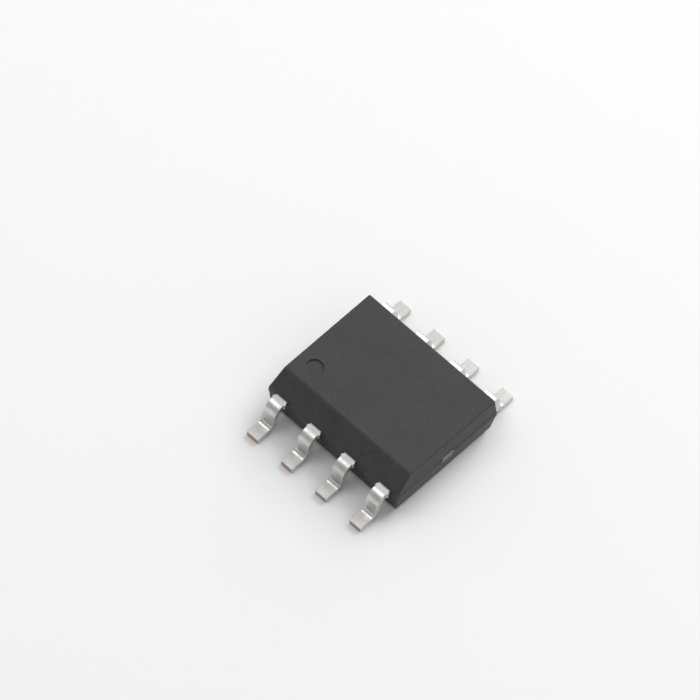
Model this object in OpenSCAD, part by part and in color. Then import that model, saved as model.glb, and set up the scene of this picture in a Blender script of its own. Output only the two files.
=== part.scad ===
// Instrumentation amplifier in an eight-lead small-outline package, in millimetres.
// The origin lies on the board plane under the middle of the body: X runs along the lead rows, Z is up.
// Lead 1 is at -X on the -Y side. The count runs along that side and back along the other.

/* [Lead frame] */
// Leads along each long side
pins_per_side = 4; // [2:1:8]
// Distance between neighbouring leads
lead_pitch = 1.27; // [1.00:0.01:1.60]
// Thickness of the lead frame sheet
lead_thickness = 0.20; // [0.15:0.01:0.26]

/* [Mould body] */
// Body width across the leads, at the parting band
body_width = 3.90; // [3.60:0.05:5.40]
// Body length beyond the middle of the end leads, at each end
body_end_margin = 0.505; // [0.450:0.005:0.900]
// Mould depth above the lead frame
upper_depth = 0.55; // [0.45:0.05:0.90]
// Mould depth below the lead frame
lower_depth = 0.60; // [0.50:0.05:0.90]
// Gap between the board plane and the underside
standoff = 0.15; // [0.10:0.01:0.25]
// Draft of the side walls
draft_angle = 8; // [3:1:12]
// Width of the bevel along the top edge beside lead 1
bevel_width = 0.43; // [0.20:0.01:0.50]
// Diameter of the index dimple at lead 1
index_diameter = 0.50; // [0.30:0.05:0.80]
// Depth of the index dimple
index_depth = 0.05; // [0.02:0.01:0.10]
// Space from the rim of the index dimple to the edges of the top face
index_inset = 0.32; // [0.15:0.01:0.60]
// Diameter of the ejector pin mark on the underside
ejector_diameter = 1.00; // [0.60:0.10:1.60]
// Depth of the ejector pin mark
ejector_depth = 0.04; // [0.02:0.01:0.08]

/* [Gull-wing leads] */
// Width of a lead outside the body
lead_width = 0.41; // [0.30:0.01:0.51]
// Flat shoulder of a lead outside the body
shoulder_length = 0.12; // [0.05:0.01:0.30]
// Slope of the leg, from the board plane
leg_angle = 82; // [65:1:88]
// Inside radius of both lead bends
bend_radius = 0.15; // [0.08:0.01:0.25]
// Flat foot that is soldered down
foot_length = 0.39; // [0.25:0.01:0.80]
// Length of the neck between the body wall and the anchor tab
neck_length = 0.22; // [0.15:0.01:0.30]
// Length of the anchor tab
tab_length = 0.42; // [0.36:0.01:0.55]
// Width of the anchor tab
tab_width = 0.75; // [0.55:0.01:0.90]
// Diameter of the mould lock hole through the anchor tab
lock_hole_diameter = 0.16; // [0.10:0.01:0.20]
// Metal between the lock hole and the outer edge of the anchor tab
lock_hole_land = 0.05; // [0.03:0.01:0.08]

/* [Die paddle] */
// Gap between the lead tips and the die paddle
paddle_gap = 0.25; // [0.15:0.01:0.40]
// How far the die paddle lies below the leads
paddle_downset = 0.30; // [0.20:0.01:0.40]
// Width of the tie bars
tie_bar_width = 0.40; // [0.25:0.01:0.60]
// Flat part of a tie bar at the die paddle
tie_bar_root = 0.05; // [0.03:0.01:0.15]
// Flat part of a tie bar at the end wall of the body
tie_bar_end = 0.26; // [0.10:0.01:0.50]
// Slope of the tie bars where they rise to the lead plane
tie_bar_angle = 50; // [35:1:65]
// Inside radius of the tie bar bends
tie_bar_radius = 0.05; // [0.03:0.01:0.10]

/* [Die] */
// Edge of the die paddle that shows around the die
die_margin = 0.16; // [0.10:0.01:0.40]
// Thickness of the die
die_thickness = 0.28; // [0.15:0.01:0.36]
// Thickness of the adhesive under the die
bond_line = 0.03; // [0.02:0.01:0.06]
// Width of the adhesive fillet at its foot
fillet_width = 0.07; // [0.04:0.01:0.09]
// Width of the adhesive fillet at its upper edge
fillet_edge = 0.01; // [0.01:0.01:0.03]
// Height of the adhesive fillet on the side of the die
fillet_height = 0.08; // [0.03:0.01:0.12]

/* [Bond wires] */
// Diameter of the bond wires
wire_diameter = 0.030; // [0.020:0.001:0.050]
// Diameter of the ball on the die
ball_diameter = 0.080; // [0.060:0.005:0.100]
// Height of the ball on the die
ball_height = 0.025; // [0.015:0.001:0.040]
// Height of the wire loop above its ends
loop_height = 0.16; // [0.10:0.01:0.25]
// Distance from a bond pad to the nearest long edge of the die
pad_inset = 0.12; // [0.08:0.01:0.25]
// Distance from the end bond pads to the short edges of the die
pad_end_inset = 0.30; // [0.10:0.05:0.60]
// Distance from the stitch to the tip of the lead
stitch_inset = 0.12; // [0.06:0.01:0.14]
// Length of the flattened stitch
stitch_length = 0.060; // [0.040:0.005:0.080]
// Width of the flattened stitch
stitch_width = 0.050; // [0.030:0.005:0.070]

/* [Hidden] */
// Segments of round features
$fn = 48;
// Cutters reach this far past the faces that they open
overcut = 0.1;

pin_count = 2 * pins_per_side;
pins = [1 : pin_count];

// Levels
lead_z = standoff + lower_depth;
lead_top = lead_z + lead_thickness;
body_top = lead_top + upper_depth;

// Body outline at the parting band, and how far the draft takes the walls in
body_length = (pins_per_side - 1) * lead_pitch + 2 * body_end_margin;
upper_taper = upper_depth * tan(draft_angle);
lower_taper = lower_depth * tan(draft_angle);

// The leg ends with the underside of the foot on the board plane.
leg_length = run_between_bends(lead_z, leg_angle, bend_radius);
inner_length = neck_length + tab_length;

// Tie bars rise by the downset and end flush with the end walls.
tie_bar_slope = run_between_bends(paddle_downset, tie_bar_angle, tie_bar_radius);
tie_bar_rise_run = tie_bar_slope * cos(tie_bar_angle)
    + (2 * tie_bar_radius + lead_thickness) * sin(tie_bar_angle);
tie_bar_length = tie_bar_root + tie_bar_rise_run + tie_bar_end;

paddle_length = body_length - 2 * tie_bar_length;
paddle_width = body_width - 2 * (inner_length + paddle_gap);
paddle_z = lead_z - paddle_downset;
paddle_top = paddle_z + lead_thickness;

die_length = paddle_length - 2 * die_margin;
die_width = paddle_width - 2 * die_margin;
die_z = paddle_top + bond_line;
die_top = die_z + die_thickness;
pad_pitch = (die_length - 2 * pad_end_inset) / (pins_per_side - 1);

// Bond wire mesh: sides of a ring, rings along the loop, and the peak of the loop curve before scaling
wire_sides = 8;
wire_steps = 10;
loop_peak = 2 / (3 * sqrt(3));
// Rings of the ball as shares of its height and of its radius
ball_profile = [[0, 0.8], [0.5, 1], [1, 0.7]];

// Straight run of a strip that changes level by drop between two equal and opposite bends
function run_between_bends(drop, angle, radius) =
    (drop - (2 * radius + lead_thickness) * (1 - cos(angle))) / sin(angle);

// Side of a lead, -1 or 1, and its place along the row
function side(i) = i <= pins_per_side ? -1 : 1;
function place(i) = (i <= pins_per_side ? i - 1 : pin_count - i) - (pins_per_side - 1) / 2;
function lead_x(i) = place(i) * lead_pitch;

// Ends of a bond wire: on the die and on the tip of its lead
function wire_start(i) = [place(i) * pad_pitch, side(i) * (die_width / 2 - pad_inset), die_top];
function wire_end(i) =
    [lead_x(i), side(i) * (body_width / 2 - inner_length + stitch_inset), lead_top];

// Height and slope of the loop, which leaves the ball upright at u = 0 and meets the lead at u = 1
function loop_rise(u) = loop_height * u * (1 - u * u) / loop_peak;
function loop_slope(u) = loop_height * (1 - 3 * u * u) / loop_peak;

// Points of one ring of a wire, whose axis is tilted from the heading by the given angle
function ring(centre, heading, tilt, half_width, half_height) =
    let (across = [-heading.y, heading.x, 0])
    let (upward = [-sin(tilt) * heading.x, -sin(tilt) * heading.y, cos(tilt)])
    [for (k = [0 : wire_sides - 1])
        let (turn = 360 * k / wire_sides)
        centre + half_width * cos(turn) * across + half_height * sin(turn) * upward];

// Rings of a whole wire: the ball, the loop, and the stitch flat on the lead
function wire_points(start, end) =
    let (flat = [end.x - start.x, end.y - start.y, 0])
    let (reach = norm(flat))
    let (heading = flat / reach)
    let (drop = end.z - start.z - ball_height)
    let (radius = wire_diameter / 2)
    [
        for (p = ball_profile)
            let (r = p[1] * ball_diameter / 2)
            each ring(start + [0, 0, p[0] * ball_height], heading, 90, r, r),
        for (k = [0 : wire_steps - 1])
            let (u = k / wire_steps)
            let (rise = ball_height + drop * u * u + loop_rise(u))
            let (tilt = atan2(2 * drop * u + loop_slope(u), 2 * reach * u))
            each ring(start + flat * u * u + [0, 0, rise], heading, tilt, radius, radius),
        each ring(end, heading, -90, stitch_width / 2, stitch_length / 2)
    ];

// Cross-section of the moulding: a straight band at the lead frame between two drafted walls
module mould_section(width) {
    half = width / 2;
    polygon([
        [lower_taper - half, standoff],
        [half - lower_taper, standoff],
        [half, lead_z],
        [half, lead_top],
        [half - upper_taper, body_top],
        [upper_taper - half, body_top],
        [-half, lead_top],
        [-half, lead_z]
    ]);
}

// Cutter for the bevel, in the same plane as the cross-section
module bevel_section() {
    edge = upper_taper - body_width / 2 + bevel_width;
    reach = upper_depth + overcut;
    polygon([
        [edge + overcut, body_top + overcut],
        [edge - reach, body_top + overcut],
        [edge - reach, body_top - reach]
    ]);
}

module mould_blank() {
    intersection() {
        translate([-body_length / 2, 0, 0])
            rotate([90, 0, 90])
            linear_extrude(body_length)
            difference() {
                mould_section(body_width);
                bevel_section();
            }
        translate([0, body_width / 2, 0])
            rotate([90, 0, 0])
            linear_extrude(body_width)
            mould_section(body_length);
    }
}

// Marks that the mould leaves: the index dimple on top and the ejector pin mark below
module mould_marks() {
    rim = index_inset + index_diameter / 2;
    index_x = upper_taper - body_length / 2 + rim;
    index_y = upper_taper - body_width / 2 + bevel_width + rim;
    translate([index_x, index_y, body_top - index_depth])
        cylinder(d = index_diameter, h = index_depth + overcut);
    translate([0, 0, standoff - overcut])
        cylinder(d = ejector_diameter, h = ejector_depth + overcut);
}

module mould_body() {
    color("#2a2a2c")
        difference() {
            mould_blank();
            mould_marks();
            for (i = pins) {
                lead(i);
                bond_wire(i);
            }
            paddle_blank();
            die_attach();
            die();
        }
}

// Strip along +X with its underside at z = 0. Turns are in degrees, downwards when positive.
module bent_strip(runs, turns, width, radius, i = 0) {
    translate([0, -width / 2, 0])
        cube([runs[i], width, lead_thickness]);
    if (i < len(turns)) {
        down = turns[i] > 0;
        pivot = down ? -radius : lead_thickness + radius;
        translate([runs[i], 0, pivot]) {
            rotate([down ? 0 : 180, 0, 0])
                rotate([0, -90, -90])
                rotate_extrude(angle = abs(turns[i]))
                translate([radius, -width / 2])
                square([lead_thickness, width]);
            rotate([0, turns[i], 0])
                translate([0, 0, -pivot])
                bent_strip(runs, turns, width, radius, i + 1);
        }
    }
}

// Part of a lead inside the body: a neck and a wider anchor tab with a hole that the mould fills
module lead_anchor() {
    hole_x = -neck_length - lock_hole_land - lock_hole_diameter / 2;
    linear_extrude(lead_thickness)
        difference() {
            union() {
                translate([-neck_length, -lead_width / 2])
                    square([neck_length, lead_width]);
                translate([-inner_length, -tab_width / 2])
                    square([tab_length, tab_width]);
            }
            translate([hole_x, 0])
                circle(d = lock_hole_diameter);
        }
}

module lead(i) {
    color("#d6d6d2")
        translate([lead_x(i), side(i) * body_width / 2, lead_z])
        rotate([0, 0, side(i) * 90]) {
            lead_anchor();
            bent_strip([shoulder_length, leg_length, foot_length], [leg_angle, -leg_angle],
                lead_width, bend_radius);
        }
}

// Die paddle as punched, with tie bars that still run past the end walls
module paddle_blank() {
    translate([-paddle_length / 2, -paddle_width / 2, paddle_z])
        cube([paddle_length, paddle_width, lead_thickness]);
    for (turn = [0, 180])
        rotate([0, 0, turn])
            translate([paddle_length / 2, 0, paddle_z])
            bent_strip([tie_bar_root, tie_bar_slope, tie_bar_end + overcut],
                [-tie_bar_angle, tie_bar_angle], tie_bar_width, tie_bar_radius);
}

// The tie bars are cut off flush with the end walls.
module die_paddle() {
    color("#c68a5e")
        intersection() {
            paddle_blank();
            translate([-body_length / 2, -body_width / 2, standoff])
                cube([body_length, body_width, body_top - standoff]);
        }
}

// Section of the adhesive with its fillet, for a die of the given size across
module adhesive_section(size) {
    foot = size / 2 + fillet_width;
    edge = size / 2 + fillet_edge;
    polygon([
        [-foot, paddle_top],
        [foot, paddle_top],
        [foot, die_z],
        [edge, die_z + fillet_height],
        [-edge, die_z + fillet_height],
        [-foot, die_z]
    ]);
}

module die_attach() {
    long = die_length + 2 * fillet_width;
    wide = die_width + 2 * fillet_width;
    color("#9b9da1")
        difference() {
            intersection() {
                translate([-long / 2, 0, 0])
                    rotate([90, 0, 90])
                    linear_extrude(long)
                    adhesive_section(die_width);
                translate([0, wide / 2, 0])
                    rotate([90, 0, 0])
                    linear_extrude(wide)
                    adhesive_section(die_length);
            }
            die();
        }
}

module die() {
    color("#59647c")
        translate([-die_length / 2, -die_width / 2, die_z])
        cube([die_length, die_width, die_thickness]);
}

module bond_wire(i) {
    points = wire_points(wire_start(i), wire_end(i));
    first = len(points) - wire_sides;
    around = [for (k = [0 : wire_sides - 1]) k];
    walls = [
        for (base = [0 : wire_sides : first - 1], k = around)
            let (next = (k + 1) % wire_sides)
            [base + k, base + wire_sides + k, base + wire_sides + next, base + next]
    ];
    caps = [around, [for (k = around) first + wire_sides - 1 - k]];
    color("#d8a93a")
        polyhedron(points, concat(walls, caps));
}

mould_body();
for (i = pins) lead(i);
die_paddle();
die_attach();
die();
for (i = pins) bond_wire(i);
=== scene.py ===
"""Dresses an eight-lead small-outline amplifier chip and stands it on a pale studio floor.

Lengths are in millimetres. Each mesh is modelled at that size and brought to metres once, when the piece is
finished. X runs along the lead rows, Z is up, and lead 1 is at -X on the -Y side.
"""

import logging
import math
from collections.abc import Callable, Iterator
from contextlib import contextmanager
from dataclasses import dataclass
from enum import Enum
from itertools import pairwise

import bmesh
import bpy
from mathutils import Matrix, Vector


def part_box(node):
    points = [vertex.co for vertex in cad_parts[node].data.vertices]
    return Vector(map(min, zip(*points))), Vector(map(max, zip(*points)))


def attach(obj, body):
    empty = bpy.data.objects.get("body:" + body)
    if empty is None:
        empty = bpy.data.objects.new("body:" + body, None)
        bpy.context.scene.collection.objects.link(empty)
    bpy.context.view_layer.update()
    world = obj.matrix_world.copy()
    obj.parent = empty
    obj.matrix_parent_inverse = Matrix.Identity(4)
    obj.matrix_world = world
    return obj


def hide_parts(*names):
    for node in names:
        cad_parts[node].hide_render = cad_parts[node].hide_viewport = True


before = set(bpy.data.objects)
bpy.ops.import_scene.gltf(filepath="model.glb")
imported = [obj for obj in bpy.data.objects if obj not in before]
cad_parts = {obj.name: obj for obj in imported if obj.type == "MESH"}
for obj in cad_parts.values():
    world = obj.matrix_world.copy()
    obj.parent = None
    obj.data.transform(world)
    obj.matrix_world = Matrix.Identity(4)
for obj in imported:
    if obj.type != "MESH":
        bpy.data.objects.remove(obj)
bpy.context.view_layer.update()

MM = 0.001
BODY = "root"
LEAD_NUMBERS = range(1, 9)

# Points nearer to each other than this lie together.
SAME_PLACE = 1e-4

# Faces that meet at a smaller angle than this lie in one plane.
SAME_PLANE = math.radians(0.1)

# A face looks along an axis if its normal reaches this far along it.
FACING = 0.95

# Edges sharper than this stay sharp when a piece is shaded smooth.
SMOOTH_ANGLE = math.radians(32)

# How far large faces outweigh small ones in a shared normal.
LARGE_FACE_WEIGHT = 100

Colour = tuple[float, float, float]
Point = tuple[float, float]
Element = bmesh.types.BMVert | bmesh.types.BMEdge | bmesh.types.BMFace
log = logging.getLogger("amplifier_chip")


def box_mm(node: str) -> tuple[Vector, Vector]:
    """Finds the lowest and the highest corner of a CAD node, in millimetres."""
    low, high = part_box(node)
    return low / MM, high / MM


def direction(azimuth: float, elevation: float) -> Vector:
    """Points from the chip to an azimuth, from -Y towards +X, and an elevation, both in degrees."""
    turn, rise = math.radians(azimuth), math.radians(elevation)
    return Vector((math.sin(turn) * math.cos(rise), -math.cos(turn) * math.cos(rise), math.sin(rise)))


def arc(centre: Point, radius: float, start: float, end: float, steps: int) -> list[Point]:
    """Lists the ends of the chords along an arc, from one angle to another, in degrees."""
    turns = [math.radians(start + (end - start) * step / steps) for step in range(steps + 1)]
    return [(centre[0] + radius * math.cos(turn), centre[1] + radius * math.sin(turn)) for turn in turns]


def opaque(colour: Colour) -> tuple[float, float, float, float]:
    """Adds full opacity to a colour."""
    return (*colour, 1.0)


class Pick(Enum):
    """What an edit-mode selection is made of, with the name of its list in the mesh."""

    VERT = "verts"
    EDGE = "edges"
    FACE = "faces"


class Row(Enum):
    """The two rows of leads, with the turn that takes a front lead there."""

    FRONT = 0.0
    BACK = math.pi


class Half(Enum):
    """The two halves of the mould, with the direction in which each one opens."""

    UPPER = 1
    LOWER = -1


class Slot(Enum):
    """The record's material slots."""

    COMPOUND = "mould_compound"
    TIN = "tin_plate"


class Coordinates(Enum):
    """What a pattern is measured on, with the name of its output."""

    PIECE = "Object"
    SKY = "Generated"


class Workpiece:
    """One mesh on the bench, shaped with edit operators and applied modifiers.

    Attributes:
        obj: the Blender object that holds the mesh.
    """

    def __init__(self, obj: bpy.types.Object) -> None:
        """Takes an object on to the bench."""
        self.obj = obj

    @classmethod
    def _start(
        cls, name: str, stretch: Vector, add: Callable[..., set[str]], **settings: object
    ) -> "Workpiece":
        """Adds a primitive, names it and stretches it to its size.

        Args:
            name: name of the new piece.
            stretch: factor along each axis.
            add: the operator that adds the primitive.
            settings: the operator's properties.

        Returns:
            The piece, with its place and size in its mesh.
        """
        bpy.ops.object.select_all(action="DESELECT")
        add(**settings)
        piece = cls(bpy.context.object)
        piece.obj.name = name
        piece.obj.data.name = name
        piece.obj.scale = stretch
        piece.apply_transform()
        return piece

    @classmethod
    def block(cls, name: str, low: Vector, high: Vector) -> "Workpiece":
        """Starts from a cube between two corners."""
        middle = (low + high) / 2
        return cls._start(name, high - low, bpy.ops.mesh.primitive_cube_add, size=1, location=middle)

    @classmethod
    def sheet(cls, name: str, low: Vector, high: Vector) -> "Workpiece":
        """Starts from a level plane between two corners."""
        stretch = Vector((high.x - low.x, high.y - low.y, 1))
        return cls._start(name, stretch, bpy.ops.mesh.primitive_plane_add, size=1, location=(low + high) / 2)

    @classmethod
    def disc(cls, name: str, centre: Vector, radius: float, sides: int) -> "Workpiece":
        """Starts from a filled, level circle."""
        circle = {"vertices": sides, "radius": radius, "fill_type": "NGON", "location": centre}
        return cls._start(name, Vector((1, 1, 1)), bpy.ops.mesh.primitive_circle_add, **circle)

    @classmethod
    def turned(cls, name: str, centre: Vector, profile: list[Point], sides: int) -> "Workpiece":
        """Draws a closed solid out of a disc, ring by ring.

        Args:
            name: name of the new piece.
            centre: point on the upright axis from which heights are counted.
            profile: radius and height of each ring, from the first end to the last.
            sides: number of corners of a ring.

        Returns:
            The piece.
        """
        radius, height = profile[0]
        piece = cls.disc(name, centre + Vector((0, 0, height)), radius, sides)
        with piece.editing():
            bpy.ops.mesh.select_all(action="SELECT")
            piece.draw_rings(centre, profile)
            piece.face_outwards()
        return piece

    @classmethod
    def copy_of(cls, source: bpy.types.Object, name: str) -> "Workpiece":
        """Copies an object with a mesh of its own.

        Args:
            source: the object to copy.
            name: name of the copy.

        Returns:
            The copy, free of the source's parent and properties.
        """
        obj = source.copy()
        obj.data = source.data.copy()
        obj.name = name
        obj.data.name = name
        obj.parent = None
        for key in list(obj.keys()):
            del obj[key]
        bpy.context.scene.collection.objects.link(obj)
        return cls(obj)

    def activate(self) -> None:
        """Makes this the one selected and active object."""
        bpy.ops.object.select_all(action="DESELECT")
        self.obj.select_set(True)
        bpy.context.view_layer.objects.active = self.obj

    def apply_transform(self) -> None:
        """Moves the object's place, turn and size into its mesh."""
        self.activate()
        bpy.ops.object.transform_apply(location=True, rotation=True, scale=True)

    def put(self, place: Vector, turn: float = 0.0, scale: float = 1.0) -> None:
        """Moves the piece for good.

        Args:
            place: where the origin goes.
            turn: turn about the upright axis, in radians.
            scale: growth in all directions.
        """
        self.obj.location = place
        self.obj.rotation_euler = (0, 0, turn)
        self.obj.scale = (scale, scale, scale)
        self.apply_transform()

    @contextmanager
    def editing(self) -> Iterator[None]:
        """Holds the piece in edit mode for a with block.

        Yields:
            Nothing, while the block runs.
        """
        self.activate()
        bpy.ops.object.mode_set(mode="EDIT")
        yield
        bpy.ops.object.mode_set(mode="OBJECT")

    def pick(self, kind: Pick, test: Callable[[Element], bool]) -> None:
        """Selects the elements that pass a test, and nothing else.

        Args:
            kind: which elements are tested.
            test: says whether an element is wanted.
        """
        bpy.ops.mesh.select_mode(type=kind.name)
        bpy.ops.mesh.select_all(action="DESELECT")
        mesh = bmesh.from_edit_mesh(self.obj.data)
        for element in getattr(mesh, kind.value):
            if test(element):
                element.select_set(True)
        bmesh.update_edit_mesh(self.obj.data)

    def pick_edge(self, middle: Vector) -> None:
        """Selects the edge whose middle lies at a point."""
        twice = 2 * middle
        self.pick(Pick.EDGE, lambda edge: (edge.verts[0].co + edge.verts[1].co - twice).length < SAME_PLACE)

    def extrude(self, step: Vector) -> None:
        """Extrudes the selection by a step."""
        bpy.ops.mesh.extrude_region_move(TRANSFORM_OT_translate={"value": step})

    def resize(self, factor: Vector, about: Vector) -> None:
        """Resizes the selection about a point."""
        bpy.ops.transform.resize(value=factor, center_override=about)

    def spin(self, angle: float, centre: Vector, steps: int) -> None:
        """Sweeps the selected edge about an axis along X, from +Y towards +Z."""
        bpy.ops.mesh.spin(steps=steps, angle=-angle, center=centre, axis=(1, 0, 0))

    def draw_rings(self, centre: Vector, profile: list[Point]) -> None:
        """Extrudes the selected ring from one radius and height to the next.

        Args:
            centre: point on the upright axis from which heights are counted.
            profile: radius and height of each ring, the selected one first.
        """
        for (radius, height), (next_radius, next_height) in pairwise(profile):
            self.extrude(Vector((0, 0, next_height - height)))
            factor = next_radius / radius
            self.resize(Vector((factor, factor, 1)), centre)

    def weld(self) -> None:
        """Merges points that lie together, all over the piece."""
        bpy.ops.mesh.select_all(action="SELECT")
        bpy.ops.mesh.remove_doubles(threshold=SAME_PLACE)

    def merge_flat(self) -> None:
        """Merges neighbouring faces that lie in one plane, all over the piece."""
        bpy.ops.mesh.select_all(action="SELECT")
        bpy.ops.mesh.dissolve_limited(angle_limit=SAME_PLANE)

    def face_outwards(self) -> None:
        """Turns every face outwards."""
        bpy.ops.mesh.select_all(action="SELECT")
        bpy.ops.mesh.normals_make_consistent(inside=False)

    def face_up(self) -> None:
        """Turns the faces of an open sheet all one way, with its first face upwards."""
        self.face_outwards()
        mesh = bmesh.from_edit_mesh(self.obj.data)
        mesh.faces.ensure_lookup_table()
        if mesh.faces[0].normal.z < 0:
            bpy.ops.mesh.flip_normals()

    def modify(self, kind: str, **settings: object) -> None:
        """Adds a modifier, sets it and applies it.

        Args:
            kind: type of the modifier.
            settings: its properties.
        """
        self.activate()
        bpy.ops.object.modifier_add(type=kind)
        modifier = self.obj.modifiers[-1]
        for key, value in settings.items():
            setattr(modifier, key, value)
        bpy.ops.object.modifier_apply(modifier=modifier.name)

    def cut(self, cutter: "Workpiece") -> None:
        """Takes the space of another piece out of this one, and throws that piece away."""
        self.modify("BOOLEAN", operation="DIFFERENCE", solver="EXACT", object=cutter.obj)
        cutter.discard()

    def discard(self) -> None:
        """Removes the piece from the bench."""
        mesh = self.obj.data
        bpy.data.objects.remove(self.obj)
        bpy.data.meshes.remove(mesh)

    def smooth(self) -> None:
        """Shades smooth over soft edges, with flat faces left flat."""
        self.activate()
        bpy.ops.object.shade_smooth_by_angle(angle=SMOOTH_ANGLE)
        self.modify("WEIGHTED_NORMAL", mode="FACE_AREA", weight=LARGE_FACE_WEIGHT, keep_sharp=True)

    def coat(self, material: bpy.types.Material) -> None:
        """Gives the whole piece one material."""
        self.obj.data.materials.clear()
        self.obj.data.materials.append(material)

    def coat_faces(self, material: bpy.types.Material, test: Callable[[Element], bool]) -> None:
        """Gives some faces a further material.

        Args:
            material: the further material.
            test: says whether a face takes it.
        """
        self.obj.data.materials.append(material)
        with self.editing():
            self.pick(Pick.FACE, test)
            self.obj.active_material_index = len(self.obj.data.materials) - 1
            bpy.ops.object.material_slot_assign()

    def hand_in(self, node: str, slot: Slot) -> None:
        """Brings the piece to metres and lets it stand for a CAD node.

        Args:
            node: the CAD node that it replaces.
            slot: the record's material slot; not used.
        """
        self.put(Vector(), scale=MM)
        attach(self.obj, BODY)
        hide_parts(node)
        log.info("%s: %d faces, stands for %s", self.obj.name, len(self.obj.data.polygons), node)


class Signal:
    """A number that varies over a surface. Arithmetic on it adds Math nodes.

    Attributes:
        graph: the node graph that it belongs to.
        socket: the output socket that carries it.
    """

    def __init__(self, graph: "Graph", socket: bpy.types.NodeSocket) -> None:
        """Wraps an output socket."""
        self.graph = graph
        self.socket = socket

    def _math(self, operation: str, first: "Signal | float", second: "Signal | float") -> "Signal":
        """Adds one Math node."""
        node = self.graph.node("ShaderNodeMath", {"operation": operation}, {0: first, 1: second})
        return Signal(self.graph, node.outputs[0])

    def __add__(self, other: "Signal | float") -> "Signal":
        """Adds a value."""
        return self._math("ADD", self, other)

    def __radd__(self, other: float) -> "Signal":
        """Adds to a plain number."""
        return self._math("ADD", other, self)

    def __sub__(self, other: "Signal | float") -> "Signal":
        """Subtracts a value."""
        return self._math("SUBTRACT", self, other)

    def __rsub__(self, other: float) -> "Signal":
        """Subtracts from a plain number."""
        return self._math("SUBTRACT", other, self)

    def __mul__(self, other: "Signal | float") -> "Signal":
        """Multiplies by a value."""
        return self._math("MULTIPLY", self, other)

    def __rmul__(self, other: float) -> "Signal":
        """Multiplies a plain number."""
        return self._math("MULTIPLY", other, self)

    def __truediv__(self, other: "Signal | float") -> "Signal":
        """Divides by a value."""
        return self._math("DIVIDE", self, other)

    def __rtruediv__(self, other: float) -> "Signal":
        """Divides a plain number."""
        return self._math("DIVIDE", other, self)

    def centred(self) -> "Signal":
        """Moves a value between 0 and 1 to lie evenly round 0."""
        return self - 0.5

    def step(self, low: float, high: float) -> "Signal":
        """Makes a soft step of the value.

        Args:
            low: where the step starts, at 0.
            high: where the step ends, at 1.

        Returns:
            The step, from 0 to 1.
        """
        settings = {"interpolation_type": "SMOOTHSTEP"}
        inputs = {"Value": self, "From Min": low, "From Max": high}
        return Signal(self.graph, self.graph.node("ShaderNodeMapRange", settings, inputs).outputs[0])


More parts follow.
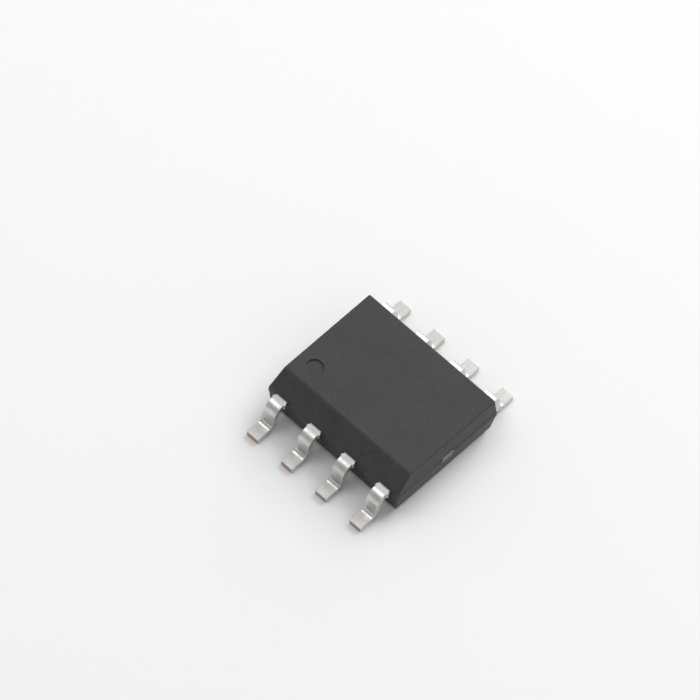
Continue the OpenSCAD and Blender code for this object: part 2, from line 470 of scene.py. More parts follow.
class Graph:
    """The node graph of one material or sky, whose patterns are measured in millimetres.

    Attributes:
        owner: the material or the sky that is being made.
        tree: its node tree, empty at first.
    """

    # Places of a Mix node's colour sockets
    MIX_FACTOR = 0
    MIX_FIRST = 6
    MIX_SECOND = 7
    MIX_RESULT = 2

    # Range of raw noise that is spread over 0 to 1
    NOISE_LOW = 0.3
    NOISE_HIGH = 0.7

    # Octaves of finer noise that are added
    NOISE_DETAIL = 3.0

    def __init__(self, owner: bpy.types.Material | bpy.types.World) -> None:
        """Empties the graph of a new material or sky.

        Args:
            owner: the material or the sky.
        """
        owner.use_nodes = True
        self.owner = owner
        self.tree = owner.node_tree
        self.tree.nodes.clear()

    @classmethod
    def for_material(cls, name: str) -> "Graph":
        """Starts an empty material."""
        return cls(bpy.data.materials.new(name))

    def node(
        self,
        kind: str,
        settings: dict[str, object] | None = None,
        inputs: dict[str | int, object] | None = None,
    ) -> bpy.types.Node:
        """Adds a node.

        Args:
            kind: type of the node.
            settings: its properties, which are set first.
            inputs: a value, a socket or a signal for each input that is not left alone.

        Returns:
            The node.
        """
        made = self.tree.nodes.new(kind)
        for key, value in (settings or {}).items():
            setattr(made, key, value)
        for key, value in (inputs or {}).items():
            if isinstance(value, Signal):
                value = value.socket
            if isinstance(value, bpy.types.NodeSocket):
                self.tree.links.new(value, made.inputs[key])
            else:
                made.inputs[key].default_value = value
        return made

    def coordinate(self, system: Coordinates) -> bpy.types.NodeSocket:
        """Reads a coordinate system."""
        return self.node("ShaderNodeTexCoord").outputs[system.value]

    def height(self, system: Coordinates) -> Signal:
        """Takes the upright part of a coordinate system."""
        parts = self.node("ShaderNodeSeparateXYZ", {}, {0: self.coordinate(system)})
        return Signal(self, parts.outputs["Z"])

    def cells(self, per_mm: Colour) -> bpy.types.NodeSocket:
        """Counts the piece's own coordinates in cells of a pattern.

        Args:
            per_mm: cells in a millimetre along each axis.

        Returns:
            The scaled coordinates.
        """
        scale = [count / MM for count in per_mm]
        inputs = {"Vector": self.coordinate(Coordinates.PIECE), "Scale": scale}
        return self.node("ShaderNodeMapping", {}, inputs).outputs[0]

    def streaks(self, per_mm: Colour) -> Signal:
        """Adds cloudy noise that is drawn out along an axis.

        Args:
            per_mm: cells in a millimetre along each axis.

        Returns:
            The noise, spread over 0 to 1.
        """
        inputs = {"Vector": self.cells(per_mm), "Scale": 1.0, "Detail": self.NOISE_DETAIL}
        raw = Signal(self, self.node("ShaderNodeTexNoise", {}, inputs).outputs[0])
        return raw.step(self.NOISE_LOW, self.NOISE_HIGH)

    def noise(self, per_mm: float) -> Signal:
        """Adds cloudy noise that is even in all directions, spread over 0 to 1."""
        return self.streaks((per_mm, per_mm, per_mm))

    def specks(self, per_mm: float, size: float) -> Signal:
        """Scatters small round specks, one in each cell.

        Args:
            per_mm: cells in a millimetre.
            size: radius of a speck as a share of its cell.

        Returns:
            The specks, 1 in their middle and 0 between them.
        """
        inputs = {"Vector": self.cells((per_mm, per_mm, per_mm)), "Scale": 1.0}
        distance = Signal(self, self.node("ShaderNodeTexVoronoi", {}, inputs).outputs["Distance"])
        return 1.0 - distance.step(size / 2, size)

    def mix(self, factor: Signal, first: object, second: object) -> bpy.types.NodeSocket:
        """Mixes two colours.

        Args:
            factor: share of the second colour.
            first: a colour or a colour socket.
            second: a colour or a colour socket.

        Returns:
            The mixed colour.
        """
        inputs = {self.MIX_FACTOR: factor}
        for key, colour in ((self.MIX_FIRST, first), (self.MIX_SECOND, second)):
            inputs[key] = opaque(colour) if isinstance(colour, tuple) else colour
        return self.node("ShaderNodeMix", {"data_type": "RGBA"}, inputs).outputs[self.MIX_RESULT]

    def relief(self, height: Signal, depth: float) -> bpy.types.NodeSocket:
        """Turns a height pattern into a bumped normal, with the height of a 1 in millimetres."""
        return self.node("ShaderNodeBump", {}, {"Height": height, "Distance": depth * MM}).outputs[0]

    def finish(self, **sockets: object) -> bpy.types.Material:
        """Closes the graph with a Principled shader.

        Args:
            sockets: values for its sockets, with underscores for spaces.

        Returns:
            The material.
        """
        inputs = {key.replace("_", " "): value for key, value in sockets.items()}
        shader = self.node("ShaderNodeBsdfPrincipled", {}, inputs)
        self.node("ShaderNodeOutputMaterial", {}, {"Surface": shader.outputs[0]})
        return self.owner


@dataclass(frozen=True)
class MouldCompound:
    """Black epoxy filled with silica, as the mould's surface leaves it.

    Attributes:
        name: name of the material.
        dark: colour of the resin.
        pale: colour where filler lies close to the surface.
        filler: colour of a coarse filler grain.
        roughness: mean roughness.
        roughness_spread: difference between the roughest and the smoothest places.
        cloud_per_mm: flow clouds in a millimetre.
        mottle_per_mm: blotches in a millimetre.
        grain_per_mm: grains of the spark-eroded mould in a millimetre.
        grain_depth: depth of those grains.
        filler_per_mm: coarse filler grains in a millimetre.
        filler_size: radius of a filler grain as a share of its cell.
    """

    name: str
    dark: Colour = (0.018, 0.018, 0.020)
    pale: Colour = (0.044, 0.044, 0.047)
    filler: Colour = (0.060, 0.060, 0.063)
    roughness: float = 0.56
    roughness_spread: float = 0.20
    cloud_per_mm: float = 0.8
    mottle_per_mm: float = 6.0
    grain_per_mm: float = 24.0
    grain_depth: float = 0.0024
    filler_per_mm: float = 11.0
    filler_size: float = 0.16

    def material(self) -> bpy.types.Material:
        """Makes the material.

        Returns:
            The material.
        """
        graph = Graph.for_material(self.name)
        cloud = graph.noise(self.cloud_per_mm)
        mottle = graph.noise(self.mottle_per_mm)
        grain = graph.noise(self.grain_per_mm)
        uneven = (cloud + mottle + grain) / 3
        resin = graph.mix(uneven, self.dark, self.pale)
        return graph.finish(
            Base_Color=graph.mix(graph.specks(self.filler_per_mm, self.filler_size), resin, self.filler),
            Roughness=self.roughness + uneven.centred() * self.roughness_spread,
            Normal=graph.relief(grain + mottle / 2, self.grain_depth),
        )


@dataclass(frozen=True)
class TinPlate:
    """Matte tin on the leads, with fine grain and wiping marks from the forming tool.

    Attributes:
        name: name of the material.
        bright: colour of clean tin.
        dull: colour of slightly oxidised tin.
        roughness: lowest roughness.
        tarnish_roughness: what oxide adds to the roughness.
        wipe_roughness: what the wiping marks add to the roughness.
        cloud_per_mm: clouds of oxide in a millimetre.
        grain_per_mm: tin grains in a millimetre.
        wipe_per_mm: wiping marks in a millimetre along each axis.
        relief: depth of the wiping marks.
    """

    name: str
    bright: Colour = (0.74, 0.73, 0.71)
    dull: Colour = (0.54, 0.53, 0.51)
    roughness: float = 0.22
    tarnish_roughness: float = 0.12
    wipe_roughness: float = 0.10
    cloud_per_mm: float = 2.2
    grain_per_mm: float = 34.0
    wipe_per_mm: Colour = (60.0, 2.5, 2.5)
    relief: float = 0.0004

    def material(self) -> bpy.types.Material:
        """Makes the material.

        Returns:
            The material.
        """
        graph = Graph.for_material(self.name)
        cloud = graph.noise(self.cloud_per_mm)
        grain = graph.noise(self.grain_per_mm)
        wipe = graph.streaks(self.wipe_per_mm)
        tarnish = (cloud * 2 + grain) / 3
        return graph.finish(
            Base_Color=graph.mix(tarnish, self.bright, self.dull),
            Metallic=1.0,
            Roughness=self.roughness + tarnish * self.tarnish_roughness + wipe * self.wipe_roughness,
            Normal=graph.relief(wipe + grain / 2, self.relief),
        )


@dataclass(frozen=True)
class CutCopper:
    """Bare copper alloy on a sheared face, with tin smeared down from its upper edge.

    Attributes:
        name: name of the material.
        smear: how far the smear reaches down.
        smear_ragged: how far the smear's edge runs up and down.
        fresh: colour of the bright sheared places.
        brown: colour of the torn, oxidised places.
        tin: colour of the smear.
        roughness: lowest roughness.
        grain_roughness: what the grain adds to the roughness.
        grain_per_mm: grains in a millimetre.
        shear_per_mm: shear marks in a millimetre along each axis.
        relief: depth of the shear marks.
    """

    name: str
    smear: float
    smear_ragged: float = 0.04
    fresh: Colour = (0.52, 0.37, 0.29)
    brown: Colour = (0.36, 0.25, 0.19)
    tin: Colour = (0.64, 0.63, 0.61)
    roughness: float = 0.30
    grain_roughness: float = 0.20
    grain_per_mm: float = 20.0
    shear_per_mm: Colour = (38.0, 38.0, 3.0)
    relief: float = 0.0006

    def material(self, top: float) -> bpy.types.Material:
        """Makes the material.

        Args:
            top: height of the face's upper edge.

        Returns:
            The material.
        """
        graph = Graph.for_material(self.name)
        grain = graph.noise(self.grain_per_mm)
        shear = graph.streaks(self.shear_per_mm)
        height = graph.height(Coordinates.PIECE) / MM
        smear = (height + shear.centred() * self.smear_ragged).step(top - self.smear, top)
        copper = graph.mix((grain + shear) / 2, self.fresh, self.brown)
        return graph.finish(
            Base_Color=graph.mix(smear, copper, self.tin),
            Metallic=1.0,
            Roughness=self.roughness + grain * self.grain_roughness,
            Normal=graph.relief(shear + grain / 2, self.relief),
        )


@dataclass(frozen=True)
class Grained:
    """Plain grained surface of an inner part.

    Attributes:
        name: name of the material.
        first: one colour of the grain.
        second: the other colour of the grain.
        metallic: 1 for bare metal.
        roughness: lowest roughness.
        per_mm: grains in a millimetre.
        depth: depth of the grains.
        grain_roughness: what the grain adds to the roughness.
    """

    name: str
    first: Colour
    second: Colour
    metallic: float
    roughness: float
    per_mm: float
    depth: float
    grain_roughness: float = 0.15

    def material(self) -> bpy.types.Material:
        """Makes the material.

        Returns:
            The material.
        """
        graph = Graph.for_material(self.name)
        grain = graph.noise(self.per_mm)
        return graph.finish(
            Base_Color=graph.mix(grain, self.first, self.second),
            Metallic=self.metallic,
            Roughness=self.roughness + grain * self.grain_roughness,
            Normal=graph.relief(grain, self.depth),
        )


@dataclass(frozen=True)
class FloorPaint:
    """Even matte paint of the studio floor and its backdrop.

    Attributes:
        name: name of the material.
        colour: colour of the paint.
        roughness: roughness of the paint.
        gloss: strength of its mirror-like part.
    """

    name: str = "pale_floor"
    colour: Colour = (0.95, 0.95, 0.95)
    roughness: float = 0.85
    gloss: float = 0.0

    def material(self) -> bpy.types.Material:
        """Makes the material."""
        sockets = {"Base_Color": opaque(self.colour), "Roughness": self.roughness}
        return Graph.for_material(self.name).finish(**sockets, Specular_IOR_Level=self.gloss)


@dataclass
class Leads:
    """The formed leads, each with an anchor tab in the body, a shoulder, a steep leg and a flat foot.

    Attributes:
        top: height of the shoulder's upper face.
        wall: distance of the body wall from the middle plane.
        toe: distance of the foot's end from the middle plane.
        tab_width: width of the anchor tab.
        tab_tip: distance of the anchor tab's inner end from the middle plane.
        thickness: thickness of the sheet.
        width: width outside the body.
        shoulder: flat length between the wall and the first bend.
        neck: length between the wall and the anchor tab.
        leg_angle: slope of the leg, in radians.
        bend_radius: inside radius of both bends.
        bend_steps: chords in a bend.
        hole_radius: radius of the lock hole in the anchor tab.
        hole_land: metal between the lock hole and the outer edge of the tab.
        hole_sides: corners of the lock hole.
        stub: how far the trimmed stubs stand out beside the shoulder.
        stub_length: length of those stubs.
        edge_radius: rounding that the plating gives to the edges.
        edge_steps: chords in that rounding.
        sharp_angle: edges sharper than this are rounded, in radians.
        plating: finish of the formed sheet.
        sheared: finish of the sheared toes.
    """

    top: float
    wall: float
    toe: float
    tab_width: float
    tab_tip: float
    thickness: float = 0.20
    width: float = 0.41
    shoulder: float = 0.12
    neck: float = 0.22
    leg_angle: float = math.radians(82)
    bend_radius: float = 0.15
    bend_steps: int = 14
    hole_radius: float = 0.08
    hole_land: float = 0.05
    hole_sides: int = 24
    stub: float = 0.03
    stub_length: float = 0.07
    edge_radius: float = 0.014
    edge_steps: int = 3
    sharp_angle: float = math.radians(40)
    plating: TinPlate = TinPlate("tin_plate")
    sheared: CutCopper = CutCopper("cut_toe", smear=0.10)

    @classmethod
    def from_frame(cls) -> "Leads":
        """Reads the outer sizes of a lead from the CAD model.

        Returns:
            The leads' sizes.
        """
        low, high = box_mm("lead_1")
        wall = -box_mm("mould_body")[0].y
        return cls(top=high.z, wall=wall, toe=-low.y, tab_width=high.x - low.x, tab_tip=-high.y)

    @property
    def underside(self) -> float:
        """Height of the shoulder's underside."""
        return self.top - self.thickness

    @property
    def bend_y(self) -> float:
        """Y at which the first bend starts."""
        return -self.wall - self.shoulder

    @property
    def stub_y(self) -> float:
        """Y of the stubs' inner end."""
        return self.bend_y + self.stub_length

    @property
    def neck_y(self) -> float:
        """Y at which the neck meets the anchor tab."""
        return self.neck - self.wall

    @property
    def leg_length(self) -> float:
        """Straight run between the two bends."""
        drop = self.underside - (2 * self.bend_radius + self.thickness) * (1 - math.cos(self.leg_angle))
        return drop / math.sin(self.leg_angle)

    @property
    def foot(self) -> float:
        """Flat length at the toe."""
        bends = (2 * self.bend_radius + self.thickness) * math.sin(self.leg_angle)
        return self.toe + self.bend_y - bends - self.leg_length * math.cos(self.leg_angle)

    def _level(self, x: float, y: float) -> Vector:
        """Finds a point on the underside of the level part."""
        return Vector((x, y, self.underside))

    def _bend(self, strip: Workpiece) -> None:
        """Draws the strip out from the shoulder: bend, leg, bend and foot.

        Args:
            strip: the flat strip, in edit mode.
        """
        shoulder_edge = self._level(0, self.bend_y)
        strip.pick_edge(shoulder_edge)
        strip.spin(self.leg_angle, shoulder_edge - Vector((0, 0, self.bend_radius)), self.bend_steps)
        down = Vector((0, -math.cos(self.leg_angle), -math.sin(self.leg_angle)))
        strip.extrude(down * self.leg_length)
        heel_axis = Vector((0, self.foot - self.toe, self.bend_radius + self.thickness))
        strip.spin(-self.leg_angle, heel_axis, self.bend_steps)
        strip.extrude(Vector((0, -self.foot, 0)))

    def _widen(self, strip: Workpiece, start: float, end: float, reach: float) -> None:
        """Draws a stretch of the level part out on both sides.

        Args:
            strip: the strip, in edit mode.
            start: Y of one end of the stretch.
            end: Y of its other end.
            reach: how far each side goes out.
        """
        for side in (-1, 1):
            strip.pick_edge(self._level(side * self.width / 2, (start + end) / 2))
            strip.extrude(Vector((side * reach, 0, 0)))

    def _draw_strip(self) -> Workpiece:
        """Draws the lead's underside as an open sheet.

        Returns:
            The sheet, with its faces upwards.
        """
        half = self.width / 2
        strip = Workpiece.sheet("gull_wing", self._level(-half, self.bend_y), self._level(half, self.stub_y))
        with strip.editing():
            strip.pick_edge(self._level(0, self.stub_y))
            strip.extrude(Vector((0, self.neck_y - self.stub_y, 0)))
            strip.extrude(Vector((0, -self.tab_tip - self.neck_y, 0)))
            self._bend(strip)
            self._widen(strip, self.neck_y, -self.tab_tip, (self.tab_width - self.width) / 2)
            self._widen(strip, self.bend_y, self.stub_y, self.stub)
            strip.weld()
            strip.face_up()
        return strip

    def _build_master(self) -> Workpiece:
        """Models a lead of the front row, in the middle of the body.

        Returns:
            The lead, in millimetres.
        """
        lead = self._draw_strip()
        lead.modify("SOLIDIFY", thickness=self.thickness, offset=1.0, use_even_offset=True)
        hole_centre = self._level(0, self.neck_y + self.hole_land + self.hole_radius)
        hole = [(self.hole_radius, -self.thickness), (self.hole_radius, 2 * self.thickness)]
        lead.cut(Workpiece.turned("lock_hole", hole_centre, hole, self.hole_sides))
        lead.modify(
            "BEVEL",
            width=self.edge_radius,
            segments=self.edge_steps,
            limit_method="ANGLE",
            angle_limit=self.sharp_angle,
        )
        return lead

    def _place(self, master: Workpiece, number: int) -> Workpiece:
        """Copies the lead to its place in a row.

        Args:
            master: the lead as modelled.
            number: number of the lead.

        Returns:
            The copy, in millimetres.
        """
        low, high = box_mm(f"lead_{number}")
        row = Row.FRONT if high.y < 0 else Row.BACK
        lead = Workpiece.copy_of(master.obj, f"plated_lead_{number}")
        lead.put(Vector(((low.x + high.x) / 2, 0, 0)), turn=row.value)
        return lead

    def build(self) -> dict[int, Workpiece]:
        """Models one lead and copies it to each place.

        Returns:
            The leads by their numbers, in millimetres.
        """
        master = self._build_master()
        leads = {number: self._place(master, number) for number in LEAD_NUMBERS}
        master.discard()
        return leads

    def spaces(self, leads: dict[int, Workpiece]) -> list[Workpiece]:
        """Copies the leads as cutters for the body."""
        return [Workpiece.copy_of(lead.obj, f"space_of_{lead.obj.name}") for lead in leads.values()]

    def _is_toe(self, face: Element) -> bool:
        """Says whether a face is the sheared end of the foot."""
        at_end = abs(face.calc_center_median().y) > self.toe - self.edge_radius
        return at_end and abs(face.normal.y) > FACING

    def dress(self, leads: dict[int, Workpiece]) -> None:
        """Finishes the leads and hands them in.

        Args:
            leads: the leads by their numbers.
        """
        tin = self.plating.material()
        copper = self.sheared.material(self.thickness)
        for number, lead in leads.items():
            lead.coat(tin)
            lead.coat_faces(copper, self._is_toe)
            lead.smooth()
            lead.hand_in(f"lead_{number}", Slot.TIN)


@dataclass(frozen=True)
class PinMark:
    """A shallow round mark that a pin of the mould leaves, with a rolled rim and a rounded floor.

    Attributes:
        name: name of the mark.
        centre: middle of the mark, on the face that it is in.
        radius: radius of the mark.
        depth: depth of the mark.
        half: the half of the mould that the pin is in.
        rounding: radius of the rim and of the floor's edge.
        rim_slope: slope at which the rim meets the face round it, in degrees.
        reach: how far the cutter reaches out of the body.
        sides: corners of a ring.
        steps: chords in a rounding.
    """

    name: str
    centre: Vector
    radius: float
    depth: float
    half: Half
    rounding: float = 0.014
    rim_slope: float = 15.0
    reach: float = 0.1
    sides: int = 96
    steps: int = 5

    def build(self) -> Workpiece:
        """Turns the cutter of the mark.

        Returns:
            The cutter, in millimetres.
        """
        soft = self.rounding
        rim = arc((self.radius + soft, -soft), soft, 90 + self.rim_slope, 180, self.steps)
        floor = arc((self.radius - soft, soft - self.depth), soft, 0, -90, self.steps)
        flare = rim[0][0] + soft
        flare_height = rim[0][1] + soft * math.tan(math.radians(self.rim_slope))
        profile = [(flare, self.reach), (flare, flare_height), *rim, *floor]
        opened = [(radius, self.half.value * height) for radius, height in profile]
        return Workpiece.turned(self.name, self.centre, opened, self.sides)

    def holds(self, face: Element) -> bool:
        """Says whether a face of the body belongs to the mark.

        Args:
            face: the face.

        Returns:
            True if it lies sunk within the rim.
        """
        offset = face.calc_center_median() - self.centre
        sunk = SAME_PLACE < abs(offset.z) < self.depth + SAME_PLACE
        return sunk and offset.xy.length < self.radius + self.rounding


@dataclass
class Moulding:
    """The epoxy body: two drafted halves that meet at a narrow band, a long bevel and the marks of two pins.

    Attributes:
        low: lowest corner of the body.
        high: highest corner of the body.
        frame_low: underside of the lead frame.
        frame_high: upper side of the lead frame.
        draft: slope of the side walls, in radians.
        parting_step: how far the band stands proud of the walls.
        bevel_width: width of the bevel, measured along the top face.
        edge_radius: rounding of the outer edges.
        edge_steps: chords in that rounding.
        sharp_angle: edges sharper than this are rounded, in radians.
        index_radius: radius of the index dimple.
        index_depth: depth of the index dimple.
        index_inset: distance from its rim to the edges of the top face.
        ejector_radius: radius of the ejector pin's mark below.
        ejector_depth: depth of the ejector pin's mark.
        compound: finish of the moulded faces.
        polished: finish of the marks, where the mould's pins are smooth.
    """

    low: Vector
    high: Vector
    frame_low: float
    frame_high: float
    draft: float = math.radians(8)
    parting_step: float = 0.012
    bevel_width: float = 0.43
    edge_radius: float = 0.045
    edge_steps: int = 4
    sharp_angle: float = math.radians(30)
    index_radius: float = 0.25
    index_depth: float = 0.05
    index_inset: float = 0.32
    ejector_radius: float = 0.50
    ejector_depth: float = 0.04
    compound: MouldCompound = MouldCompound("mould_compound")
    polished: MouldCompound = MouldCompound(
        "polished_mould_compound", roughness=0.38, roughness_spread=0.06, grain_depth=0.0003
    )

    @classmethod
    def from_frame(cls, leads: Leads) -> "Moulding":
        """Reads the body's outer sizes from the CAD model, and the lead frame's levels from the leads."""
        low, high = box_mm("mould_body")
        return cls(low=low, high=high, frame_low=leads.underside, frame_high=leads.top)

    @property
    def upper_taper(self) -> float:
        """How far the draft takes the walls in at the top."""
        return (self.high.z - self.frame_high) * math.tan(self.draft)

    @property
    def lower_taper(self) -> float:
        """How far the draft takes the walls in at the underside."""
        return (self.frame_low - self.low.z) * math.tan(self.draft)

    @property
    def bevel_edge(self) -> float:
        """Y of the bevel's upper edge."""
        return self.low.y + self.upper_taper + self.bevel_width

    @property
    def index_dimple(self) -> PinMark:
        """The mark beside lead 1, on the top face.

        Returns:
            The mark's sizes.
        """
        rim = self.index_inset + self.index_radius
        centre = Vector((self.low.x + self.upper_taper + rim, self.bevel_edge + rim, self.high.z))
        return PinMark("index_dimple", centre, self.index_radius, self.index_depth, Half.UPPER)

    @property
    def ejector_mark(self) -> PinMark:
        """The mark in the middle of the underside."""
        centre = Vector((0, 0, self.low.z))
        return PinMark("ejector_mark", centre, self.ejector_radius, self.ejector_depth, Half.LOWER)

    def _sections(self, half: Half) -> list[Point]:
        """Lists the height and inset of a half's sections.

        Args:
            half: which half.

        Returns:
            The sections, from the parting band outwards.
        """
        step = self.parting_step
        if half is Half.UPPER:
            parting, face, taper = self.frame_high, self.high.z, self.upper_taper
        else:
            parting, face, taper = self.frame_low, self.low.z, self.lower_taper
        return [(parting - 2 * half.value * step, 0.0), (parting - half.value * step, step), (face, taper)]

    def _draw_half(self, body: Workpiece, half: Half) -> None:
        """Draws one half of the body out of the parting band.

        Args:
            body: the band, in edit mode.
            half: which half.
        """
        body.pick(Pick.FACE, lambda face: face.normal.z * half.value > FACING)
        for (height, inset), (next_height, next_inset) in pairwise(self._sections(half)):
            body.extrude(Vector((0, 0, next_height - height)))
            factors = [(side - next_inset) / (side - inset) for side in (self.high.x, self.high.y)]
            body.resize(Vector((*factors, 1)), Vector((0, 0, next_height)))

    def _cut_bevel(self, body: Workpiece) -> None:
        """Cuts the long bevel, at 45 degrees.

        Args:
            body: the body, in edit mode.
        """
        bpy.ops.mesh.select_all(action="SELECT")
        bpy.ops.mesh.bisect(
            plane_co=(0, self.bevel_edge, self.high.z),
            plane_no=(0, -1, 1),
            use_fill=True,
            clear_outer=True,
            threshold=SAME_PLACE,
        )
        body.weld()

    def _is_outer_edge(self, edge: Element) -> bool:
        """Says whether an edge of the body is rounded.

        Args:
            edge: the edge.

        Returns:
            True if it is sharp and not a level edge of the parting band.
        """
        heights = [vert.co.z for vert in edge.verts]
        in_band = self.frame_low < min(heights) and max(heights) < self.frame_high
        level = abs(heights[0] - heights[1]) < SAME_PLACE
        return edge.calc_face_angle(0.0) > self.sharp_angle and not (in_band and level)

    def build(self, inner: list[Workpiece]) -> Workpiece:
        """Models the body and takes the space of all inner parts out of it.

        Args:
            inner: copies of the parts that the body is moulded round, which are used up.

        Returns:
            The body, in millimetres.
        """
        band_low = Vector((self.low.x, self.low.y, self._sections(Half.LOWER)[0][0]))
        band_high = Vector((self.high.x, self.high.y, self._sections(Half.UPPER)[0][0]))
        body = Workpiece.block("moulding", band_low, band_high)
        with body.editing():
            for half in Half:
                self._draw_half(body, half)
            self._cut_bevel(body)
            body.pick(Pick.EDGE, self._is_outer_edge)
            bpy.ops.mesh.bevel(offset=self.edge_radius, segments=self.edge_steps, affect="EDGES")
            body.weld()
            body.face_outwards()
        for cutter in [self.index_dimple.build(), self.ejector_mark.build(), *inner]:
            body.cut(cutter)
        return body

    def _in_mark(self, face: Element) -> bool:
        """Says whether a face belongs to the mark of a pin."""
        return self.index_dimple.holds(face) or self.ejector_mark.holds(face)

    def dress(self, body: Workpiece) -> None:
        """Finishes the body and hands it in.

        Args:
            body: the body as modelled.
        """
        body.coat(self.compound.material())
        body.coat_faces(self.polished.material(), self._in_mark)
        body.smooth()
        body.hand_in("mould_body", Slot.COMPOUND)


@dataclass
class InnerParts:
    """The paddle, adhesive, die and bond wires, which keep their CAD shape.

    Attributes:
        tie_bar_reach: how far the cutters of the tie bars pass the end walls.
        copper: finish of the paddle, which shows at the cut ends of its tie bars. It is the toes' sheared
            copper made darker, with a darker tin smear: real copper, with painted shade for the end walls.
        adhesive: finish of the adhesive under the die.
        silicon: finish of the die.
        gold: finish of the bond wires.
    """

    tie_bar_reach: float = 0.2
    # A darker copy of the toes' sheared copper and tin smear: painted shade for the end walls.
    copper: CutCopper = CutCopper(
        "lead_frame_copper",
        smear=0.05,
        fresh=(0.33, 0.225, 0.165),
        brown=(0.19, 0.125, 0.090),
        tin=(0.40, 0.39, 0.37),
        roughness=0.44,
    )
    adhesive: Grained = Grained(
        "silver_adhesive",
        first=(0.46, 0.46, 0.47),
        second=(0.30, 0.30, 0.31),
        metallic=0.6,
        roughness=0.45,
        per_mm=40.0,
        depth=0.0008,
    )
    silicon: Grained = Grained(
        "silicon",
        first=(0.10, 0.11, 0.14),
        second=(0.16, 0.17, 0.21),
        metallic=0.2,
        roughness=0.18,
        per_mm=6.0,
        depth=0.0001,
    )
    gold: Grained = Grained(
        "gold_wire",
        first=(0.90, 0.65, 0.26),
        second=(0.78, 0.54, 0.20),
        metallic=1.0,
        roughness=0.18,
        per_mm=30.0,
        depth=0.0002,
    )

    @property
    def wires(self) -> list[str]:
        """Names of the bond wires."""
        return [f"bond_wire_{number}" for number in LEAD_NUMBERS]

    def _space_of(self, name: str) -> Workpiece:
        """Copies a part in millimetres, as one closed mesh.

        Args:
            name: the part's CAD node.

        Returns:
            The copy.
        """
        part = Workpiece.copy_of(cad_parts[name], f"space_of_{name}")
        part.put(Vector(), scale=1 / MM)
        with part.editing():
            part.weld()
            part.merge_flat()
        return part

    def _space_of_paddle(self) -> Workpiece:
        """Copies the paddle, with tie bars that reach out through the end walls.

        Returns:
            The copy.
        """
        paddle = self._space_of("die_paddle")
        end = box_mm("die_paddle")[1].x
        with paddle.editing():
            for side in (-1, 1):
                paddle.pick(Pick.VERT, lambda vert: vert.co.x * side > end - SAME_PLACE)
                bpy.ops.transform.translate(value=(side * self.tie_bar_reach, 0, 0))
        return paddle

    def build(self) -> list[Workpiece]:
        """Copies the inner parts as closed cutters for the body, in millimetres."""
        others = ("die_attach", "die", *self.wires)
        return [self._space_of_paddle(), *(self._space_of(name) for name in others)]

    def dress(self) -> None:
        """Gives each inner part its own finish."""
        coats = (
            (self.copper.material(box_mm("die_paddle")[1].z), ["die_paddle"]),
            (self.adhesive.material(), ["die_attach"]),
            (self.silicon.material(), ["die"]),
            (self.gold.material(), self.wires),
        )
        for material, names in coats:
            for name in names:
                Workpiece(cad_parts[name]).coat(material)
                log.info("%s: CAD shape kept, finish %s", name, material.name)


@dataclass(frozen=True)
class Viewpoint:
    """Where the camera stands. Pixels are those of a square picture.

    Attributes:
        azimuth: turn round the chip, in degrees.
        elevation: height above the horizon, in degrees.
        roll: lean of the picture, in degrees.
        lens_px: focal length in pixels.
        px_per_mm: scale at the chip.
        origin_px: where the chip's origin falls in the picture.
        picture_px: side of the picture.
        sensor: width of the sensor.
        nearest: nothing closer than this is seen.
        farthest: nothing farther than this is seen.
    """

    azimuth: float = 36.30
    elevation: float = 58.07
    roll: float = 8.59
    lens_px: float = 10312.5
    px_per_mm: float = 37.19
    origin_px: Point = (380.1, 417.5)
    picture_px: float = 700.0
    sensor: float = 36.0
    nearest: float = 1.0
    farthest: float = 1000.0

    def build(self) -> None:
        """Adds the camera and makes it the scene's own."""
        back = direction(self.azimuth, self.elevation)
        level = direction(self.azimuth + 90, 0)
        upright = back.cross(level)
        lean = math.radians(self.roll)
        right = level * math.cos(lean) + upright * math.sin(lean)
        up = upright * math.cos(lean) - level * math.sin(lean)
        across, down = ((pixel - self.picture_px / 2) / self.px_per_mm for pixel in self.origin_px)
        place = back * (self.lens_px / self.px_per_mm) - right * across + up * down
        lens = bpy.data.cameras.new("camera")
        lens.sensor_width = self.sensor
        lens.lens = self.lens_px * self.sensor / self.picture_px
        lens.clip_start = self.nearest * MM
        lens.clip_end = self.farthest * MM
        camera = bpy.data.objects.new("camera", lens)
        bpy.context.scene.collection.objects.link(camera)
        turn = Matrix((right, up, back)).transposed().to_4x4()
        camera.matrix_world = Matrix.Translation(place * MM) @ turn
        bpy.context.scene.camera = camera


@dataclass(frozen=True)
class SoftBox:
    """A square lamp that looks at the chip.

    Attributes:
        name: name of the lamp.
        azimuth: turn round the chip, in degrees.
        elevation: height above the horizon, in degrees.
        distance: distance from the chip.
        size: side of the lamp.
        watts: power of the lamp.
    """

    name: str
    azimuth: float
    elevation: float
    distance: float
    size: float
    watts: float

    def build(self) -> None:
        """Adds the lamp."""
        towards = direction(self.azimuth, self.elevation)
        light = bpy.data.lights.new(self.name, "AREA")
        light.shape = "SQUARE"
        light.size = self.size * MM
        light.energy = self.watts
        lamp = bpy.data.objects.new(self.name, light)
        lamp.location = towards * self.distance * MM
        lamp.rotation_mode = "QUATERNION"
        lamp.rotation_quaternion = towards.to_track_quat("Z", "Y")
        lamp.visible_camera = False
        bpy.context.scene.collection.objects.link(lamp)


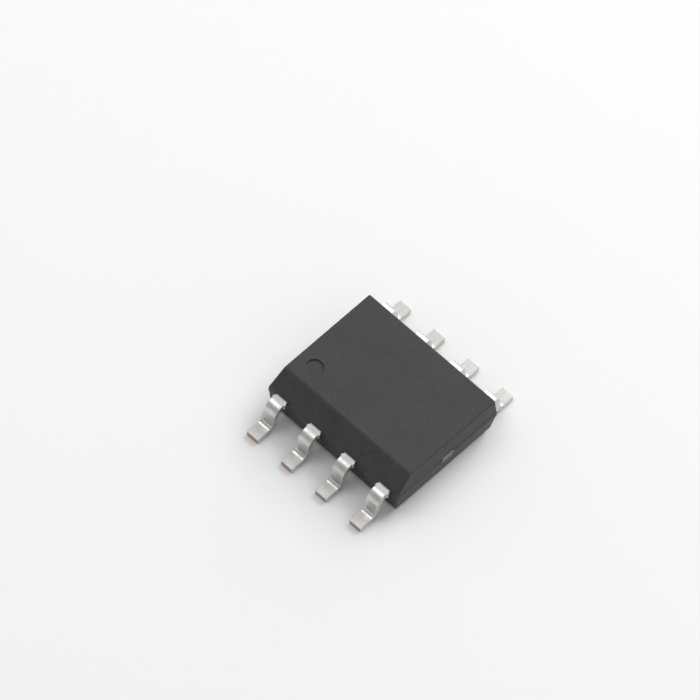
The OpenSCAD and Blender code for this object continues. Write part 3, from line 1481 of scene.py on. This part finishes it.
@dataclass
class Studio:
    """A pale floor that rises into a round backdrop, soft lamps and an even sky.

    Attributes:
        floor_radius: radius of the flat part of the floor.
        floor_drop: gap that keeps the floor clear of the feet.
        floor_sides: corners of the floor's rim.
        floor_paint: finish of the floor and backdrop.
        cove_radius: radius of the rise at the floor's rim.
        cove_rise: angle that the rise goes through, in degrees.
        cove_steps: chords in the rise.
        horizon: colour of the sky at the horizon.
        zenith: colour of the sky overhead.
        lamps: the soft lamps.
    """

    floor_radius: float = 140.0
    floor_drop: float = 0.002
    floor_sides: int = 96
    floor_paint: FloorPaint = FloorPaint()
    cove_radius: float = 70.0
    cove_rise: float = 82.0
    cove_steps: int = 12
    horizon: Colour = (0.30, 0.305, 0.31)
    zenith: Colour = (0.54, 0.545, 0.55)
    lamps: tuple[SoftBox, ...] = (
        SoftBox("key_lamp", azimuth=176.0, elevation=42.0, distance=200.0, size=108.0, watts=0.200),
        SoftBox("top_panel", azimuth=216.0, elevation=58.0, distance=150.0, size=120.0, watts=0.010),
        SoftBox("back_panel", azimuth=198.0, elevation=14.0, distance=130.0, size=70.0, watts=0.023),
        SoftBox("front_panel", azimuth=300.0, elevation=67.0, distance=150.0, size=64.0, watts=0.028),
    )

    def _build_floor(self) -> None:
        """Models the floor with its rising rim."""
        centre = Vector((0, 0, -self.floor_drop))
        floor = Workpiece.disc("studio_floor", centre, self.floor_radius, self.floor_sides)
        cove_centre = (self.floor_radius, self.cove_radius)
        with floor.editing():
            floor.pick(Pick.EDGE, lambda edge: edge.is_boundary)
            cove = arc(cove_centre, self.cove_radius, -90, self.cove_rise - 90, self.cove_steps)
            floor.draw_rings(centre, cove)
        floor.coat(self.floor_paint.material())
        floor.activate()
        bpy.ops.object.shade_smooth()
        floor.put(Vector(), scale=MM)

    def _build_sky(self) -> None:
        """Sets a sky that pales from the horizon up."""
        bpy.context.scene.world = bpy.data.worlds.new("studio_sky")
        graph = Graph(bpy.context.scene.world)
        colour = graph.mix(graph.height(Coordinates.SKY).step(0.0, 1.0), self.horizon, self.zenith)
        sky = graph.node("ShaderNodeBackground", {}, {"Color": colour})
        graph.node("ShaderNodeOutputWorld", {}, {"Surface": sky.outputs[0]})

    def build(self) -> None:
        """Builds the floor, the sky and the lamps, and sets plain colours."""
        self._build_floor()
        self._build_sky()
        for lamp in self.lamps:
            lamp.build()
        bpy.context.scene.view_settings.view_transform = "Standard"
        log.info("studio: a floor, a sky and %d lamps", len(self.lamps))


def main() -> None:
    """Builds the studio, the leads and the body that is moulded round all parts, and dresses every piece."""
    logging.basicConfig(level=logging.INFO, format="%(message)s")
    Studio().build()
    Viewpoint().build()

    leads = Leads.from_frame()
    inner = InnerParts()
    moulding = Moulding.from_frame(leads)
    lead_pieces = leads.build()
    body = moulding.build([*leads.spaces(lead_pieces), *inner.build()])

    leads.dress(lead_pieces)
    moulding.dress(body)
    inner.dress()


if __name__ == "__main__":
    main()
